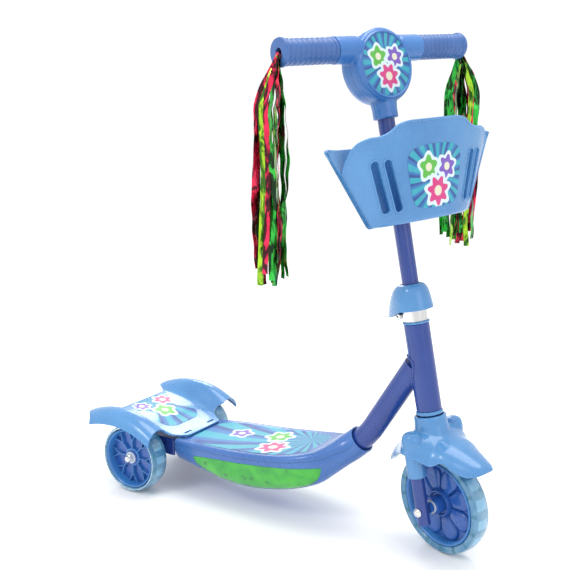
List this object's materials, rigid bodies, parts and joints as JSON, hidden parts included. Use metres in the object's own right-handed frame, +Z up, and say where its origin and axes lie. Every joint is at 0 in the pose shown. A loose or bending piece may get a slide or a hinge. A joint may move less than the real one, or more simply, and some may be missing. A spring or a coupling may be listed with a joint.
{
  "type": "kick scooter",
  "caption": "Toddler's kick scooter with one steered front wheel, two rear wheels under a wide fender, a low curved deck, a basket and foil streamers on the grips",
  "frame": {"origin": "floor level under the middle of the whole scooter's bounding box", "axes": "+X forward, +Y to the rider's left, +Z up; the wheels stand on Z = 0 and the bars are turned 20 degrees to the right"},
  "size_m": [0.6349, 0.3596, 0.6878],
  "materials": {
    "sky_plastic": "glossy light blue moulding",
    "grip_plastic": "satin soft plastic",
    "deck_plastic": "glossy blue moulding",
    "frame_paint": "glossy enamel on steel tube",
    "hub_plastic": "glossy dark blue moulding",
    "clear_tyre": "clear cast polyurethane",
    "green_lens": "clear green moulding",
    "chrome": "polished",
    "steel": "zinc plated",
    "printed_face": null,
    "nylon": "natural nylon",
    "foil": "metallised film strips",
    "circuit": "lacquered board",
    "cable": "black insulation"
  },
  "bodies": {
    "chassis": {"main_frame": "frame_paint", "lower_head_bush": "sky_plastic", "upper_head_bush": "sky_plastic", "deck_top": "deck_plastic", "deck_bottom": "deck_plastic", "deck_screw_front_left": "steel", "deck_screw_front_right": "steel", "deck_screw_rear_left": "steel", "deck_screw_rear_right": "steel", "side_lens_left": "green_lens", "side_lens_right": "green_lens", "battery_pack": "nylon", "battery_cover": "deck_plastic", "lamp_board_left": "circuit", "lamp_board_right": "circuit", "lamp_wire_left": "cable", "lamp_wire_right": "cable", "rear_bracket": "frame_paint", "rear_fender": "sky_plastic", "rear_axle": "steel", "rear_spacer_left": "nylon", "rear_spacer_right": "nylon", "rear_axle_nut_left": "chrome", "rear_axle_nut_right": "chrome"},
    "steering": {"fork": "frame_paint", "front_fender": "sky_plastic", "front_axle": "chrome", "front_axle_nut": "chrome", "front_spacer_left": "nylon", "front_spacer_right": "nylon", "clamp_band": "chrome", "clamp_bolt": "chrome", "clamp_nut": "chrome", "dome_cover": "sky_plastic"},
    "handlebar_assembly": {"handlebar": "frame_paint", "dash_front_shell": "sky_plastic", "dash_back_shell": "sky_plastic", "dash_face": "printed_face", "grip_left": "grip_plastic", "grip_right": "grip_plastic", "streamers_left": "foil", "streamers_right": "foil", "basket": "sky_plastic", "basket_clamp_lower": "sky_plastic", "basket_clamp_upper": "sky_plastic", "basket_screw_lower": "steel", "basket_screw_upper": "steel"},
    "front_wheel": {"front_hub": "hub_plastic", "front_tyre": "clear_tyre", "front_bush_left": "nylon", "front_bush_right": "nylon"},
    "rear_left_wheel": {"rear_hub_left": "hub_plastic", "rear_tyre_left": "clear_tyre", "rear_bush_left_outer": "nylon", "rear_bush_left_inner": "nylon"},
    "rear_right_wheel": {"rear_hub_right": "hub_plastic", "rear_tyre_right": "clear_tyre", "rear_bush_right_outer": "nylon", "rear_bush_right_inner": "nylon"}
  },
  "joints": [
    {"name": "steer", "type": "hinge", "parent": "chassis", "child": "steering", "pos_m": [0.2565, 0, 0], "axis": [-0.1908, 0, 0.9816], "range_deg": [-25, 65]},
    {"name": "handlebar_height", "type": "slide", "parent": "steering", "child": "handlebar_assembly", "axis": [-0.1908, 0, 0.9816], "range_m": [-0.05, 0.05]},
    {"name": "front_wheel_spin", "type": "hinge", "parent": "steering", "child": "front_wheel", "pos_m": [0.24291, 0, 0.06989], "axis": [0.3357, 0.9397, 0.0653], "continuous": true},
    {"name": "rear_left_wheel_spin", "type": "hinge", "parent": "chassis", "child": "rear_left_wheel", "pos_m": [-0.2371, 0.081, 0.054], "axis": [0, 1, 0], "continuous": true},
    {"name": "rear_right_wheel_spin", "type": "hinge", "parent": "chassis", "child": "rear_right_wheel", "pos_m": [-0.2371, -0.081, 0.054], "axis": [0, 1, 0], "continuous": true}
  ]
}
